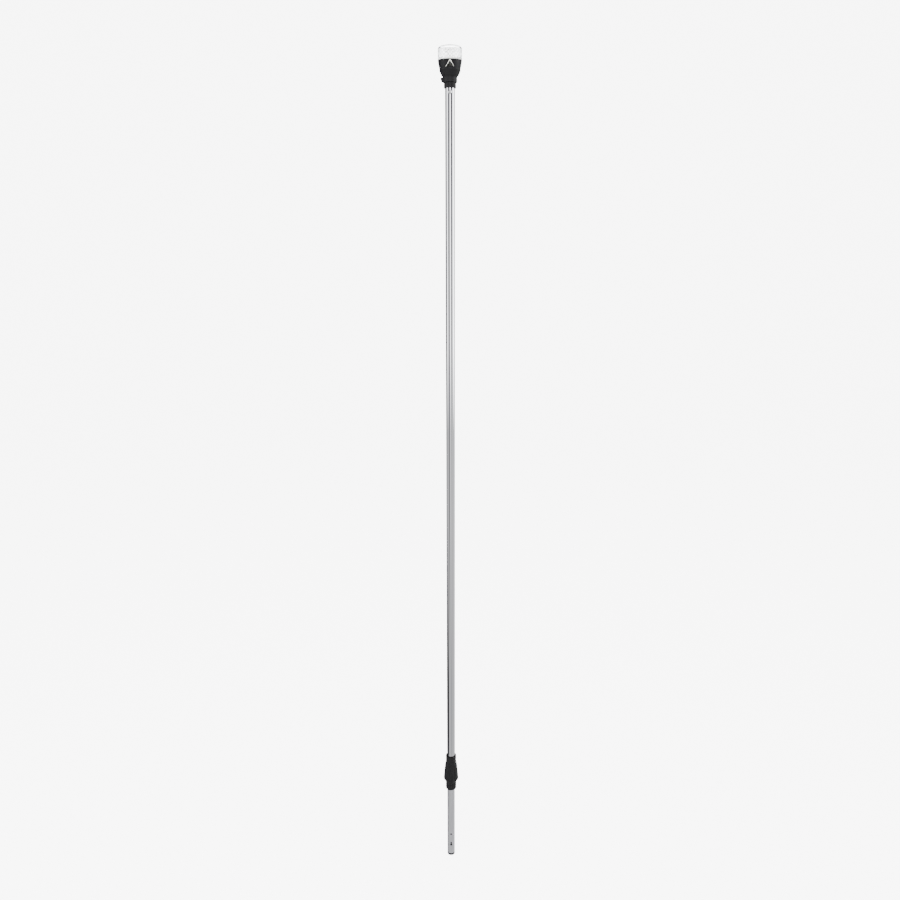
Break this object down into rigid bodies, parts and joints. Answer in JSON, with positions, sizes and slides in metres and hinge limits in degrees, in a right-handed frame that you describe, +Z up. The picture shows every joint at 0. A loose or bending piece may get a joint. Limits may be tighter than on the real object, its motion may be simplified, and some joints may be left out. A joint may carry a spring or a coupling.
{
  "type": "plug-in pole navigation light",
  "caption": "Tall plug-in pole light for a boat: clear all-round lens on a black head with a task light and push button, sliding twist-lock collar and keyed electrical plug end.",
  "frame": {"origin": "centre of the plug's lower end, on the pole's axis", "axes": "+Z up the pole to the lens, -Y the way the task light faces, -X the side the push button is on"},
  "size_m": [0.0386, 0.0389, 1.524],
  "materials": {
    "polished_mast": "polished and clear anodised",
    "satin_plug": "satin anodised",
    "black_nylon": "moulded, fine texture",
    "clear_lens": "clear polycarbonate, prismatic",
    "white_seal": "satin",
    "black_seal": "matte",
    "contact_brass": "turned",
    "fastener_steel": "bright",
    "rivet_aluminium": "bright",
    "sink_aluminium": "cast",
    "white_board": "solder mask",
    "green_board": "solder mask",
    "chip_black": "moulded",
    "led_package": "phosphor",
    "white_reflector": "gloss",
    "cream_bezel": "gloss",
    "smoke_window": "tinted",
    "button_rubber": "matte",
    "red_insulation": "extruded",
    "black_insulation": "extruded"
  },
  "bodies": {
    "mast": {"mast_tube": "polished_mast", "plug_tube": "satin_plug", "plug_body": "black_nylon", "plug_seal": "black_seal", "contact_positive": "contact_brass", "contact_negative": "contact_brass", "wire_positive": "red_insulation", "wire_negative": "black_insulation", "stop_ring": "black_nylon", "joint_pin": "fastener_steel", "head_body": "black_nylon", "sleeve_ring": "black_seal", "mast_spigot": "black_nylon", "mast_rivet": "rivet_aluminium", "sleeve_screw": "fastener_steel", "heat_sink": "sink_aluminium", "sink_screws": "fastener_steel", "driver_board": "green_board", "driver_components": "chip_black", "led_board": "white_board", "led_emitters": "led_package", "lens_gasket": "white_seal", "lens": "clear_lens", "reflector_cone": "white_reflector", "task_bezel": "cream_bezel", "task_window": "smoke_window", "task_board": "green_board", "task_leds": "led_package", "task_lead": "black_insulation", "switch_board": "green_board", "switch_body": "chip_black", "switch_lead": "black_insulation"},
    "collar_carrier": {"collar_bush": "black_nylon", "collar_friction_ring": "black_seal"},
    "collar": {"collar_grip": "black_nylon", "collar_skirt": "black_nylon", "collar_seal": "black_seal"},
    "button": {"task_button": "button_rubber", "switch_plunger": "chip_black"}
  },
  "joints": [
    {"name": "collar_slide", "type": "slide", "parent": "mast", "child": "collar_carrier", "axis": [0, 0, 1], "range_m": [0, 1.19]},
    {"name": "collar_twist", "type": "hinge", "parent": "collar_carrier", "child": "collar", "pos_m": [0, 0, 0.2], "axis": [0, 0, 1], "continuous": true},
    {"name": "task_button_press", "type": "slide", "parent": "mast", "child": "button", "axis": [1, 0, 0], "range_m": [0, 0.0012], "stiffness_N_per_m": 400, "springref_m": -0.0006}
  ]
}
